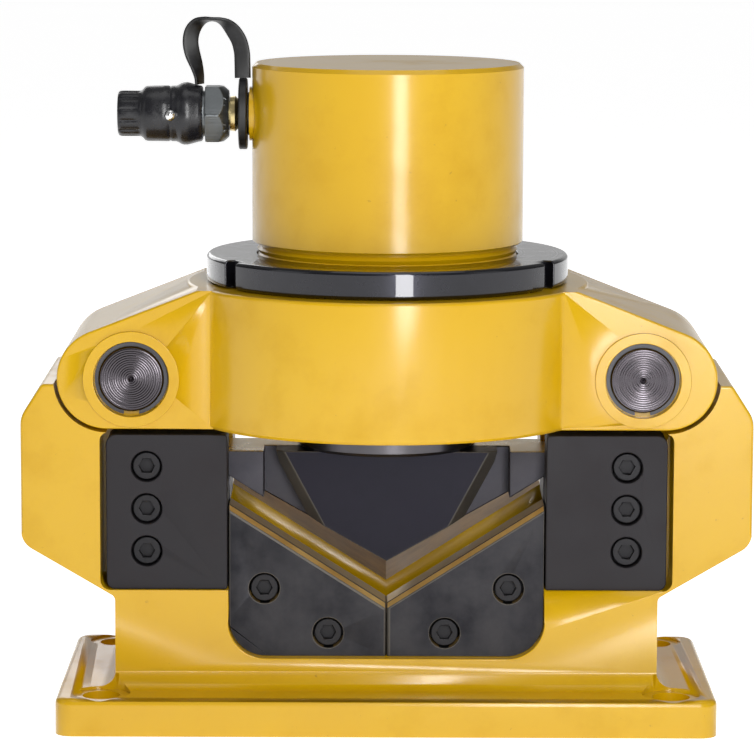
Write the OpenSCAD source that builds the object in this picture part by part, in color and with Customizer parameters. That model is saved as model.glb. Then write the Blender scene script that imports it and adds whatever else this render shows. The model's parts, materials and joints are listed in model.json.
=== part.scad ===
// Hydraulic angle steel cutter head.
// Origin: bottom centre of the base. X across the base, front towards -Y, Z up. Millimetres.

/* [Base] */
// How far the base runs past each side of the frame
base_side = 33.5; // [28:0.5:46]
// How far the base runs past the frame's front and back
base_front = 32; // [28:0.5:44]
// Thickness of the base
base_t = 22; // [16:1:30]
// Plan radius of the base's corners
base_corner_r = 10; // [4:1:18]
// Rounding of the base's top edge
base_edge_r = 4; // [2:0.5:7]
// Distance from the base's end to the middle of a bolt hole
bolt_edge_x = 26; // [20:0.5:28]
// Distance from the base's front or back to the middle of a bolt hole
bolt_edge_y = 18; // [15:0.5:20]
// Radius of each bolt hole
bolt_hole_r = 11; // [6:0.5:13]
// Radius of the spot-face round each bolt hole
spot_r = 17; // [15:0.5:20]
// Depth of the spot-face
spot_t = 1.5; // [0.5:0.5:4]

/* [Frame] */
// Depth of the frame and of the yoke's ears
frame_d = 120; // [104:1:150]
// How far the frame's side stands in from the outer edge of the guide pocket above it
flare_inset = 8.5; // [2:0.5:16]
// Height that the side takes to flare out to the shoulder
flare_h = 32; // [22:1:40]
// Radius of the cove where the frame meets its base
cove_r = 10; // [4:1:14]

/* [Throat and lower blades] */
// Width of the throat
throat_w = 185; // [150:1:225]
// Metal between the base's top and the throat's floor
throat_floor_t = 17.5; // [12:0.5:24]
// Radius of the throat's lower corners
throat_corner_r = 22; // [14:1:26]
// Height of the lower V's point above the throat's floor
lower_web = 31.5; // [26:0.5:40]
// Slope of each side of the lower V, in degrees
lower_slope = 32.5; // [27:0.5:38]
// How far the lower blades sit behind the frame's face
lower_setback = 7; // [4:0.5:10]
// Thickness of the lower blades
lower_t = 24; // [20:0.5:29]
// Bevel along the front of the lower V
lower_bevel = 3; // [1:0.5:5]
// Distance across between the two screws of a lower blade
lower_screw_pitch = 37.3; // [30:0.1:45]

/* [Guide blocks] */
// Width of a guide block
guide_w = 70.5; // [58:0.5:76]
// Height of the guide blocks' seat above the throat's floor
guide_seat = 40.5; // [34:0.5:48]
// How far the guide blocks sit behind the frame's face
guide_setback = 2.5; // [1:0.5:5]
// Gap round the outside of a guide block
guide_gap = 3.5; // [2:0.5:5]
// Height between the guide screws
guide_screw_pitch = 25; // [20:0.5:29]
// Distance from a guide block's outer edge to its screws
guide_screw_inset = 23.5; // [18:0.5:30]

/* [Holder and upper blade] */
// Opening between the points of the two Vs at rest
feed_gap = 20.7; // [16:0.1:25]
// Height of the upper blade, point to top
upper_h = 66; // [58:0.5:76]
// Slope of each side of the upper V, in degrees
upper_slope = 29.5; // [26:0.5:33]
// Half width of the upper blade's V edge
upper_edge_x = 46.3; // [40:0.1:54]
// Half width of the upper blade at its top
upper_top_x = 65.5; // [58:0.5:69]
// Thickness of the upper blade
upper_t = 22; // [18:0.5:26]
// Thickness of the holder's back behind the blade
holder_back_t = 26.5; // [24:0.5:31]
// Bevel down each side of the upper blade's face
upper_bevel = 6; // [3:0.5:8]
// Gap between the upper blade's top corner and the holder's leg beside it
leg_gap = 7; // [5:0.5:9]
// How far the holder's wings run past the throat on each side
wing_w = 25.5; // [20:0.5:29]
// Travel of the ram
stroke = 25; // [20:1:30]

/* [Yoke and pins] */
// Height of the yoke
yoke_h = 81; // [70:1:96]
// Wall of the yoke's collar
collar_wall = 42; // [34:1:50]
// Radius of the round end of an ear
ear_r = 29.3; // [28.3:0.1:34]
// Distance from a pin to the middle of the ear's round end
ear_reach = 14; // [10:0.5:18]
// Radius of the ear pins
pin_r = 19; // [15:0.5:20]
// Thickness of the frame's tongue between the ear's cheeks
tongue_t = 50; // [42:1:60]
// Lip at the bottom of the yoke that the cylinder's neck seats on
yoke_lip = 12; // [9:0.5:15]

/* [Cylinder] */
// Outer radius of the cylinder
cyl_r = 80; // [72:0.5:90]
// Height of the painted cylinder
cyl_h = 105.5; // [96:0.5:126]
// Radius of the cylinder's bore
bore_r = 55; // [48:0.5:60]
// Thickness of the cylinder's closed top
crown_t = 24; // [18:0.5:30]
// Thickness of the lock ring
ring_h = 16.3; // [12:0.1:20]
// How far the lock ring stands out from the cylinder
ring_rim = 27; // [20:0.5:34]
// Length of thread that shows above the lock ring
thread_show = 6.6; // [4:0.1:10]
// Thread pitch
pitch = 3; // [2:0.5:4]

/* [Ram] */
// Radius of the piston rod
rod_r = 40; // [36:0.5:42]
// Radius of the round ram head
head_r = 53.4; // [45:0.1:64]
// Clearance round the ram head in the yoke
head_gap = 6.6; // [4:0.1:8]
// Height of ram head that shows between holder and yoke
head_show = 17.4; // [14:0.1:21]
// Length of the piston
piston_h = 28; // [24:0.5:32]
// Length of the gland nut
gland_h = 32; // [28:0.5:38]
// Radius of the return spring's wire
spring_wire_r = 3; // [2:0.1:3.2]
// Turns of the return spring
spring_turns = 8; // [6:0.5:9]

/* [Coupler and dust cap] */
// Half the width across the coupler's flats
coupler_r = 16.2; // [13.5:0.1:19.5]
// How far the dust cap's widest ring stands past the coupler's flats
cap_lip = 2.2; // [1.5:0.1:3]
// Length of the dust cap
cap_l = 50; // [44:0.5:58]
// Radius of the passage for the oil
oil_r = 3; // [2:0.5:4]
// Width of the cap's strap
strap_w = 9.5; // [6:0.5:11]
// Thickness of the cap's strap
strap_t = 2.2; // [1.6:0.1:3]

/* [Hidden] */
$fn = 96;

fit = 0.05;          // radial clearance of a running fit, and of parts held together
body_gap = 0.3;      // clearance between pieces that move past each other
eps = 1;             // how far a cut runs past the face it opens

// paint and metal colours
paint = [0.89, 0.73, 0.18];
black_steel = [0.13, 0.13, 0.15];
blade_steel = [0.25, 0.25, 0.27];
bright_steel = [0.68, 0.68, 0.66];
brass = [0.75, 0.62, 0.33];
rubber_black = [0.06, 0.06, 0.07];

// layers from front to back
front_y = -frame_d / 2;
lower_y = front_y + lower_setback;
shear_y = lower_y + lower_t;               // the plane where the blades pass
guide_y = front_y + guide_setback;
blade_y = shear_y + 0.2;
blade_back_y = blade_y + upper_t;
holder_back_y = blade_back_y + holder_back_t;
slot_back_y = holder_back_y + body_gap;

// heights
throat_z = base_t + throat_floor_t;
guide_z = throat_z + guide_seat;
lower_apex_z = throat_z + lower_web;
upper_apex_z = lower_apex_z + feed_gap;
holder_top_z = upper_apex_z + upper_h;
yoke_z = holder_top_z + head_show;
frame_top_z = yoke_z - 1.6;
guide_top_z = yoke_z - guide_gap;
pin_z = yoke_z + ear_r;
yoke_top_z = yoke_z + yoke_h;
ring_z = yoke_top_z + body_gap;
ring_top_z = ring_z + ring_h;
cyl_z = ring_top_z + thread_show;
cyl_top_z = cyl_z + cyl_h;
flare_z = guide_z - 4;

// widths, worked outwards from the throat
throat_x = throat_w / 2;
guide_x = throat_x + 0.5;
guide_out_x = guide_x + guide_w;
pocket_x = guide_out_x + guide_gap;
holder_x = throat_x + wing_w;
slot_x = holder_x + body_gap;
tongue_r = ear_r - 2.3;
pin_x = slot_x + tongue_r + 3.2;
ear_x = pin_x + ear_reach;
seat_gap = 2;
seat_r = ear_r + seat_gap;
shoulder_x = ear_x + seat_r + 19.2;
shoulder_tip_x = ear_x + seat_r + 6.7;
shoulder_side_z = pin_z - 22.5;
block_x = pocket_x - flare_inset;
base_x = block_x + base_side;
base_y = frame_d / 2 + base_front;
bolt_x = base_x - bolt_edge_x;
bolt_y = base_y - bolt_edge_y;

// the slopes of the two Vs
lower_rise = tan(lower_slope);
upper_rise = tan(upper_slope);
lower_end_z = lower_apex_z + throat_x * lower_rise;
upper_edge_z = upper_apex_z + upper_edge_x * upper_rise;
holder_apex_z = upper_apex_z - 3;          // the holder's own V reaches a little below the blade's
leg_x = upper_top_x + leg_gap;
leg_z = holder_apex_z + leg_x * upper_rise;
leg_out_z = leg_z + (throat_x - leg_x) * lower_rise;
wing_z = leg_out_z - 16;
sweep_gap = 3;                             // clearance below the moving pieces at full stroke

// screws: radius of shank, radius and height of head, radius of the key's hexagon
screw_r = 5;
screw_head_r = 8;
screw_head_h = 8;
screw_key_r = 4.6;
screw_grip = 16;                           // length of thread in the piece behind
sink_r = screw_head_r + 1;
sink_t = screw_head_h + 2;
guide_screw_x = guide_out_x - guide_screw_inset;
guide_screw_z = (guide_z + guide_top_z) / 2 + 2;
lower_screw_x = throat_x - throat_corner_r + 1;
lower_screws = [[lower_screw_x, lower_apex_z + 9], [lower_screw_x - lower_screw_pitch, throat_z + 14]];

// ears, pins and their rings
cheek_gap = 1;
tongue_y = tongue_t / 2;
slot_half = tongue_y + cheek_gap;
boss_h = 1.5;
boss_r = ear_r - 1.3;
pin_end_y = frame_d / 2 - 1;
clip_t = 1.6;
clip_y = pin_end_y - 4;
clip_groove_r = pin_r - 1.2;
clip_well_r = pin_r + 3;

// cylinder and ram stack
neck_r = cyl_r - 3;
ring_r = cyl_r + ring_rim;
collar_r = neck_r + collar_wall;
ear_root_x = collar_r - 8.5;
thread_t = 1.4;
neck_z = yoke_z + yoke_lip + body_gap;
yoke_hole_r = head_r + head_gap;
head_z = holder_top_z;
head_top_z = neck_z + 1;
gland_r = bore_r + 3;
gland_z = neck_z + 2.5;
gland_top_z = gland_z + gland_h;
bore_top_z = cyl_top_z - crown_t;
chamber_h = 13;                            // oil space above the piston at rest
piston_top_z = bore_top_z - chamber_h;
piston_z = piston_top_z - piston_h;
spigot_r = rod_r - 18;
spigot_h = piston_h - 6;
nut_r = spigot_r + 9;
nut_h = 12;
ring_band = 5;                             // height of the bearing and wear rings
seal_band = 6;
band_t = 2.5;
rod_screw_r = 8;
rod_screw_len = 40;

// coupler: distances are from the cylinder's axis, outwards along -X
port_z = bore_top_z - chamber_h / 2;
boss_face = cyl_r + 1.5;
nipple_r = 10;
ring_seat = 5.5;                           // length of groove that holds the strap's ring
nipple_end = boss_face + 12;
thread_r = 7;
coupler_l = 50;
coupler_end = nipple_end + coupler_l;
hex_r = coupler_r / cos(30);
sleeve_r = coupler_r - 2.7;                // the coupler's barrel, inside the cap
cap_r = coupler_r + cap_lip;
cap_start = nipple_end + 15.5;
cap_wall = 2.4;
spout_r = coupler_r - 5.7;                 // the coupler's outer end, inside the cap
valve_r = 6;
valve_seat = coupler_end - 14;
poppet_l = 12;
poppet_stroke = 3;
strap_ring_r = coupler_r + 4.8;
strap_ring_t = 5;
strap_ring_at = boss_face + 1 + ring_seat / 2;
stud_at = cap_start + 18.5;
stud_r = 3.4;
stud_seat = cap_r - 3.4;

// points from angle a0 to a1 on the circle of radius r about c
function arc(c, r, a0, a1) =
    let (n = max(2, ceil(abs(a1 - a0) / 6)))
    [for (i = [0:n]) let (a = a0 + (a1 - a0) * i / n) [c.x + r * cos(a), c.y + r * sin(a)]];

// one corner p between its neighbours a and b, rounded to radius r
function corner(p, a, b, r) =
    r <= 0 ? [p] :
    let (u = (a - p) / norm(a - p), w = (b - p) / norm(b - p), half = acos(u * w) / 2,
         c = p + (u + w) / norm(u + w) * r / sin(half), s = p + u * r / tan(half) - c,
         e = p + w * r / tan(half) - c, a0 = atan2(s.y, s.x),
         turn = (atan2(e.y, e.x) - a0 + 540) % 360 - 180)
    arc(c, r, a0, a0 + turn);

// an outline whose points are [x, y, corner radius]
function rounded(pts) =
    let (n = len(pts), flat = [for (p = pts) [p.x, p.y]])
    [for (i = [0:n - 1]) each corner(flat[i], flat[(i + n - 1) % n], flat[(i + 1) % n], pts[i][2])];

// a right half outline completed by its mirror image in X; a point may carry a corner radius
function both_sides(pts) = concat(pts, [for (i = [len(pts) - 1:-1:0]) let (p = pts[i])
    len(p) > 2 ? [-p.x, p.y, p[2]] : [-p.x, p.y]]);

// angle about c at which a line from p touches the circle of radius r
function tangent_angle(p, c, r) = atan2(p.y - c.y, p.x - c.x) - acos(r / norm(p - c));

// an XZ outline made solid from y0 to y1
module along_y(y0, y1) {
    translate([0, y1, 0]) rotate([90, 0, 0]) linear_extrude(y1 - y0) children();
}

// a round bar or hole along Y
module bar_y(x, z, r, y0, y1, sides = 0) {
    translate([x, y1, z]) rotate([90, 0, 0]) cylinder(r = r, h = y1 - y0, $fn = sides > 0 ? sides : 48);
}

// a shape turned so that its +Z points outwards from the port, along -X
module at_port() {
    translate([0, 0, port_z]) rotate([0, -90, 0]) children();
}

// a ring or plug turned from its (radius, height) outline
module turned(pts) {
    rotate_extrude() polygon(pts);
}

// a plain ring
module ring(r0, r1, z0, z1) {
    turned([[r0, z0], [r1, z0], [r1, z1], [r0, z1]]);
}

// both sides of the object
module each_side() {
    children();
    mirror([1, 0, 0]) children();
}

// a socket head screw along Y, its head's face towards the front at y
module screw_y(x, z, y, shank_end) {
    difference() {
        union() {
            bar_y(x, z, screw_head_r, y, y + screw_head_h);
            bar_y(x, z, screw_r, y + screw_head_h - 0.1, shank_end);
        }
        bar_y(x, z, screw_key_r, y - eps, y + screw_head_h / 2, 6);
    }
}

// ---------------------------------------------------------------- frame

// the lower V: the blades' top edge and the rear rest
module lower_v_space(half_w, top) {
    polygon(concat([[0, lower_apex_z]],
        both_sides([[half_w, lower_apex_z + half_w * lower_rise], [half_w, top]])));
}

module base_plate() {
    w = base_x - base_corner_r;
    d = base_y - base_corner_r;
    hull() for (x = [-w, w], y = [-d, d]) translate([x, y, 0]) {
        cylinder(r = base_corner_r, h = base_t - base_edge_r, $fn = 32);
        rotate_extrude($fn = 32) polygon(concat([[0, base_t - base_edge_r]],
            arc([base_corner_r - base_edge_r, base_t - base_edge_r], base_edge_r, 0, 90), [[0, base_t]]));
    }
}

// cove all round the foot of the frame
module foot_cove() {
    w = block_x;
    d = frame_d / 2;
    cove = concat([[-eps, -eps], [cove_r, -eps]], arc([cove_r, cove_r], cove_r, 270, 180), [[-eps, cove_r]]);
    translate([0, 0, base_t]) {
        for (s = [-1, 1]) {
            translate([-w * s, d * s, 0]) rotate([90, 0, s > 0 ? 90 : -90]) linear_extrude(2 * w) polygon(cove);
            translate([w * s, d, 0]) rotate([90, 0, 0]) linear_extrude(2 * d)
                polygon([for (p = cove) [p.x * s, p.y]]);
            for (t = [-1, 1]) translate([w * s, d * t, 0])
                rotate_extrude() polygon([for (p = cove) [max(p.x, 0), p.y]]);
        }
    }
}

module frame_outline() {
    polygon(rounded(both_sides([
        [block_x, base_t - eps, 0],
        [block_x, flare_z, 4],
        [shoulder_x, flare_z + flare_h, 12],
        [shoulder_x, shoulder_side_z, 16],
        [shoulder_tip_x, pin_z - 3, 3],
        [ear_x + seat_r - 2, pin_z - 3, 0],
        [ear_x, frame_top_z, 0]])));
}

// the space in which the holder, with its blade, goes down
module holder_slot_outline() {
    drop = stroke + sweep_gap;
    ledge_z = leg_z - drop;
    polygon(concat([[0, holder_apex_z - drop]], both_sides([[leg_x, ledge_z], [throat_x, ledge_z],
        [throat_x, wing_z - drop], [slot_x, wing_z - drop], [slot_x, yoke_top_z]])));
}

// V-shaped rest for the bar behind the frame, on a web
module rear_rest() {
    lip = 12;
    wall = 16;
    along_y(frame_d / 2 - eps, base_y - 4) polygon(both_sides([
        [24, base_t - eps], [24, lower_apex_z - wall + 24 * lower_rise],
        [throat_x + lip, lower_end_z - wall], [throat_x + lip, lower_end_z]]));
}

module frame() {
    color(paint) difference() {
        union() {
            base_plate();
            foot_cove();
            rear_rest();
            difference() {
                along_y(front_y, frame_d / 2) frame_outline();
                // seats for the round ends of the ears
                each_side() bar_y(ear_x, pin_z, seat_r, front_y - eps, frame_d / 2 + eps, 120);
            }
            // tongues that the pins pass through
            each_side() {
                bar_y(pin_x, pin_z, tongue_r, -tongue_y, tongue_y, 96);
                translate([pin_x - tongue_r, -tongue_y, frame_top_z - 20])
                    cube([2 * tongue_r, tongue_t, pin_z - frame_top_z + 20]);
            }
        }
        // throat and guide block pockets, open to the front
        along_y(front_y - eps, shear_y) polygon(rounded(both_sides([
            [throat_x, throat_z, throat_corner_r], [throat_x, yoke_top_z, 0]])));
        each_side() along_y(front_y - eps, shear_y) polygon(rounded([
            [throat_x - eps, guide_z, 0], [pocket_x, guide_z, 6],
            [pocket_x, frame_top_z - 2, 5], [pocket_x - 7, frame_top_z + eps, 0],
            [throat_x - eps, frame_top_z + eps, 0]]));
        along_y(shear_y - 0.01, slot_back_y) holder_slot_outline();
        along_y(slot_back_y - 0.01, 2 * base_y) lower_v_space(throat_x, yoke_top_z);
        each_side() {
            bar_y(pin_x, pin_z, pin_r + fit, -frame_d, frame_d, 96);
            for (i = [-1:1])
                bar_y(guide_screw_x, guide_screw_z + i * guide_screw_pitch, screw_r + fit,
                    shear_y - eps, shear_y + screw_grip + 2);
            for (p = lower_screws)
                bar_y(p.x, p.y, screw_r + fit, shear_y - eps, shear_y + screw_grip + 2);
        }
        for (x = [-1, 1], y = [-1, 1]) translate([x * bolt_x, y * bolt_y, 0]) {
            translate([0, 0, -eps]) cylinder(r = bolt_hole_r, h = base_t + 2 * eps, $fn = 64);
            translate([0, 0, base_t - spot_t]) cylinder(r = spot_r, h = cove_r, $fn = 64);
        }
    }
}

// ---------------------------------------------------------------- lower blades and guide blocks

// a bevel of width s cut along a face's edge that starts at (x, z) and rises at the angle a
module edge_bevel(x, z, a, y, s) {
    run = 200;
    translate([x, y, z]) rotate([0, -a, 0]) rotate([45, 0, 0])
        cube([run, s * sqrt(2), s * sqrt(2)], center = true);
}

module lower_blade() {
    half_gap = 0.15;
    side_gap = 0.2;
    x1 = throat_x - side_gap;
    color(blade_steel) difference() {
        along_y(lower_y, shear_y) polygon(rounded([
            [half_gap, throat_z, 0], [x1, throat_z, throat_corner_r],
            [x1, lower_apex_z + x1 * lower_rise, 0], [half_gap, lower_apex_z + half_gap * lower_rise, 0]]));
        edge_bevel(throat_x / 2, lower_apex_z + throat_x / 2 * lower_rise, lower_slope, lower_y, lower_bevel);
        for (p = lower_screws) {
            bar_y(p.x, p.y, screw_r + 0.5, lower_y - eps, shear_y + eps);
            bar_y(p.x, p.y, sink_r, lower_y - eps, lower_y + sink_t);
        }
    }
}

module lower_blade_left() { mirror([1, 0, 0]) lower_blade(); }
module lower_blade_right() { lower_blade(); }

module lower_blade_screws() {
    color(black_steel) each_side() for (p = lower_screws)
        screw_y(p.x, p.y, lower_y + sink_t - screw_head_h, shear_y + screw_grip);
}

module guide_block() {
    color(black_steel) difference() {
        along_y(guide_y, shear_y) polygon(rounded([
            [guide_x, guide_z, 1.5], [guide_out_x, guide_z, 5],
            [guide_out_x, guide_top_z, 6], [guide_x, guide_top_z, 2]]));
        for (i = [-1:1]) {
            z = guide_screw_z + i * guide_screw_pitch;
            bar_y(guide_screw_x, z, screw_r + 0.5, guide_y - eps, shear_y + eps);
            bar_y(guide_screw_x, z, sink_r, guide_y - eps, guide_y + sink_t);
        }
    }
}

module guide_block_left() { mirror([1, 0, 0]) guide_block(); }
module guide_block_right() { guide_block(); }

module guide_block_screws() {
    color(blade_steel) each_side() for (i = [-1:1])
        screw_y(guide_screw_x, guide_screw_z + i * guide_screw_pitch, guide_y + sink_t - screw_head_h,
            shear_y + screw_grip);
}

// ---------------------------------------------------------------- yoke and pins

module ear_outline() {
    root = [ear_root_x, yoke_top_z];
    middle = [ear_x, pin_z];
    right = concat(arc(middle, ear_r, -90, tangent_angle(root, middle, ear_r)), [root]);
    polygon(both_sides(right));
}

module yoke() {
    edge = 2;
    color(paint) difference() {
        union() {
            turned(concat([[0, yoke_z], [collar_r - edge, yoke_z], [collar_r, yoke_z + edge]],
                arc([collar_r - edge, yoke_top_z - edge], edge, 0, 90), [[0, yoke_top_z]]));
            along_y(front_y, frame_d / 2) ear_outline();
            each_side() bar_y(pin_x, pin_z, boss_r, front_y - boss_h, frame_d / 2 + boss_h, 96);
        }
        translate([0, 0, yoke_z - eps]) cylinder(r = yoke_hole_r, h = yoke_h + 2 * eps);
        translate([0, 0, yoke_z + yoke_lip]) cylinder(r = neck_r + fit, h = yoke_h);
        each_side() {
            bar_y(pin_x, pin_z, tongue_r + cheek_gap, -slot_half, slot_half, 96);
            translate([pin_x - tongue_r - cheek_gap, -slot_half, yoke_z - eps])
                cube([2 * (tongue_r + cheek_gap), 2 * slot_half, pin_z - yoke_z + eps]);
            bar_y(pin_x, pin_z, pin_r + fit, -frame_d, frame_d, 96);
            bar_y(pin_x, pin_z, clip_well_r, -frame_d, -clip_y + 0.1, 96);
            bar_y(pin_x, pin_z, clip_well_r, clip_y - 0.1, frame_d, 96);
        }
    }
}

// a pin with a groove near each end for its ring, and a centre mark on each face
module ear_pin() {
    chamfer = 1;
    groove = clip_t + 0.1;
    half = [[pin_r, 0], [pin_r, clip_y], [clip_groove_r, clip_y], [clip_groove_r, clip_y + groove],
        [pin_r, clip_y + groove], [pin_r, pin_end_y - chamfer], [pin_r - chamfer, pin_end_y],
        [2, pin_end_y], [0, pin_end_y - 2]];
    color(bright_steel) translate([pin_x, 0, pin_z]) rotate([90, 0, 0]) rotate_extrude()
        polygon(concat(half, [for (i = [len(half) - 1:-1:1]) [half[i].x, -half[i].y]]));
}

module pin_left() { mirror([1, 0, 0]) ear_pin(); }
module pin_right() { ear_pin(); }

// open retaining rings, four in all
module pin_circlips() {
    mouth = 9;
    color(blade_steel) each_side() for (s = [-1, 1]) difference() {
        translate([pin_x, s * (clip_y + clip_t / 2 + fit) + clip_t / 2, pin_z]) rotate([90, 0, 0])
            ring(clip_groove_r + fit, pin_r + 2.2, 0, clip_t);
        translate([pin_x - mouth / 2, s * clip_y - 5, pin_z - pin_r - 5]) cube([mouth, 10, 14]);
    }
}

// ---------------------------------------------------------------- cylinder, lock ring, gland

// the neck's thread as a stack of V grooves between two heights, as an outline on its outside
function thread_teeth(r, z0, z1) =
    let (n = floor((z1 - z0) / pitch), p = (z1 - z0) / n)
    [for (i = [0:n - 1]) each [[r, z0 + (i + 0.1) * p], [r - thread_t, z0 + (i + 0.55) * p]]];

module cylinder_body() {
    chamfer = 2.5;
    boss_root = 4;
    color(paint) difference() {
        union() {
            turned(concat([[bore_r, neck_z], [neck_r - 1, neck_z], [neck_r, neck_z + 1], [neck_r, ring_top_z - 2]],
                thread_teeth(neck_r, ring_top_z - 2, cyl_z), [[neck_r - 1, cyl_z], [cyl_r - 1, cyl_z],
                [cyl_r, cyl_z + 1], [cyl_r, cyl_top_z - chamfer], [cyl_r - chamfer, cyl_top_z],
                [0, cyl_top_z], [0, bore_top_z], [bore_r, bore_top_z]]));
            // boss round the port
            at_port() translate([0, 0, cyl_r - boss_root]) cylinder(r = nipple_r + 6, h = boss_face - cyl_r + boss_root);
        }
        translate([0, 0, neck_z - eps]) cylinder(r = gland_r + fit, h = gland_top_z - neck_z + eps);
        at_port() {
            cylinder(r = oil_r, h = cyl_r + 10);
            translate([0, 0, bore_r + 8]) cylinder(r = thread_r + fit, h = cyl_r);
        }
    }
}

module lock_ring() {
    edge = 1.5;
    slot_w = 12;
    slot_d = 7;
    first_slot = -28.5;
    color(black_steel) difference() {
        turned([[neck_r + body_gap, ring_z], [ring_r - edge, ring_z], [ring_r, ring_z + edge],
            [ring_r, ring_top_z - edge], [ring_r - edge, ring_top_z], [neck_r + body_gap, ring_top_z]]);
        // slots for the hook spanner
        for (i = [0:2]) rotate(first_slot + i * 120)
            translate([ring_r - slot_d, -slot_w / 2, ring_z - eps]) cube([slot_d + eps, slot_w, ring_h + 2 * eps]);
    }
}

// heights of the grooves inside the gland, from the bottom
wiper_z = gland_z + 3;
rod_seal_z = wiper_z + seal_band + 3;
bearing_z = rod_seal_z + seal_band + 3;
gland_seal_z = gland_z + gland_h / 2;

module gland_nut() {
    key_r = 4;
    key_ring = (rod_r + gland_r) / 2;
    color(bright_steel) difference() {
        ring(rod_r + body_gap, gland_r, gland_z, gland_top_z);
        for (g = [[wiper_z, seal_band], [rod_seal_z, seal_band], [bearing_z, ring_band]])
            translate([0, 0, g[0]]) cylinder(r = rod_r + band_t, h = g[1]);
        translate([0, 0, gland_seal_z]) ring(gland_r - band_t, gland_r + eps, 0, seal_band);
        // holes for the pin spanner
        for (a = [0:90:270]) rotate(a + 45) translate([key_ring, 0, gland_z - eps])
            cylinder(r = key_r, h = 6, $fn = 32);
    }
}

module gland_seal() {
    color(rubber_black) translate([0, 0, gland_seal_z]) ring(gland_r - band_t, gland_r, 0, seal_band);
}

module rod_bearing() {
    color(brass) ring(rod_r + fit, rod_r + band_t, bearing_z, bearing_z + ring_band);
}

module rod_seal() {
    color(rubber_black) ring(rod_r + fit, rod_r + band_t, rod_seal_z, rod_seal_z + seal_band);
}

module rod_wiper() {
    color(rubber_black) ring(rod_r + fit, rod_r + band_t, wiper_z, wiper_z + seal_band);
}

// ---------------------------------------------------------------- springs

// a closed coil as one solid: rings of points carried round a helix about Z
module coil(mean_r, wire_r, z0, z1, turns, sides = 8, steps = 20) {
    rise = z1 - z0 - 2 * wire_r;
    n = ceil(turns * steps);
    pts = [for (i = [0:n]) let (a = 360 * turns * i / n, h = z0 + wire_r + rise * i / n)
        for (j = [0:sides - 1]) let (b = 360 * j / sides, r = mean_r + wire_r * cos(b))
        [r * cos(a), r * sin(a), h + wire_r * sin(b)]];
    walls = [for (i = [0:n - 1], j = [0:sides - 1]) let (k = (j + 1) % sides)
        [i * sides + j, (i + 1) * sides + j, (i + 1) * sides + k, i * sides + k]];
    ends = [[for (j = [0:sides - 1]) j], [for (j = [sides - 1:-1:0]) n * sides + j]];
    polyhedron(points = pts, faces = concat(walls, ends), convexity = 10);
}

module return_spring() {
    color(bright_steel) coil((rod_r + bore_r) / 2, spring_wire_r, gland_top_z, piston_z, spring_turns);
}

// ---------------------------------------------------------------- piston, rod and ram head

wear_z = piston_z + 4;
piston_seal_z = piston_z + piston_h - seal_band - 5;

module piston() {
    groove_r = bore_r - band_t - 1;
    side_r = bore_r - body_gap;
    color(bright_steel) difference() {
        turned([[spigot_r + fit, piston_z], [side_r, piston_z], [side_r, wear_z], [groove_r, wear_z],
            [groove_r, wear_z + ring_band], [side_r, wear_z + ring_band], [side_r, piston_seal_z],
            [groove_r, piston_seal_z], [groove_r, piston_seal_z + seal_band],
            [side_r, piston_seal_z + seal_band], [side_r, piston_top_z], [spigot_r + fit, piston_top_z]]);
        translate([0, 0, piston_top_z - nut_h]) cylinder(r = nut_r + 1, h = nut_h + eps);
    }
}

module piston_seal() {
    color(rubber_black) ring(bore_r - band_t - 1, bore_r - fit, piston_seal_z, piston_seal_z + seal_band);
}

module piston_wear_ring() {
    color(brass) ring(bore_r - band_t - 1, bore_r - fit, wear_z, wear_z + ring_band);
}

module piston_nut() {
    color(black_steel) difference() {
        ring(spigot_r + fit, nut_r, piston_top_z - nut_h, piston_top_z - 2);
        for (a = [0, 90]) rotate(a) translate([-nut_r - eps, -3, piston_top_z - 6])
            cube([2 * nut_r + 2 * eps, 6, 6]);
    }
}

module rod() {
    color(bright_steel) difference() {
        union() {
            turned([[0, head_top_z], [rod_r - 1, head_top_z], [rod_r, head_top_z + 1],
                [rod_r, piston_z - 1], [rod_r - 1, piston_z], [0, piston_z]]);
            translate([0, 0, piston_z - eps]) cylinder(r = spigot_r, h = spigot_h + eps);
        }
        translate([0, 0, head_top_z - eps]) cylinder(r = rod_screw_r + fit, h = rod_screw_len);
    }
}

module ram_head() {
    edge = 2;
    color(bright_steel) difference() {
        turned([[rod_screw_r + 0.5, head_z], [head_r - edge, head_z], [head_r, head_z + edge],
            [head_r, head_top_z - edge], [head_r - edge, head_top_z], [rod_screw_r + 0.5, head_top_z]]);
        translate([0, 0, head_z - eps]) cylinder(r = rod_screw_r * 1.6 + 0.5, h = rod_screw_r * 2 + eps);
        holder_screw_spots() translate([0, 0, head_z - eps])
            cylinder(r = screw_r + fit, h = screw_grip + 2, $fn = 48);
    }
}

module ram_head_screw() {
    head_h = rod_screw_r * 2;
    color(black_steel) difference() {
        union() {
            translate([0, 0, head_z + 1]) cylinder(r = rod_screw_r * 1.6, h = head_h - 1);
            translate([0, 0, head_z + head_h - 0.1])
                cylinder(r = rod_screw_r, h = head_top_z - head_z - head_h + rod_screw_len - 4);
        }
        translate([0, 0, head_z]) cylinder(r = rod_screw_r * 0.9, h = rod_screw_r, $fn = 6);
    }
}

// ---------------------------------------------------------------- holder and upper blade

module holder_screw_spots() {
    for (x = [-1, 1]) translate([x * 32, blade_back_y + holder_back_t / 2, 0]) children();
}

holder_screw_z = holder_apex_z + 32 * upper_rise + 16;   // under the screws' heads

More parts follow.
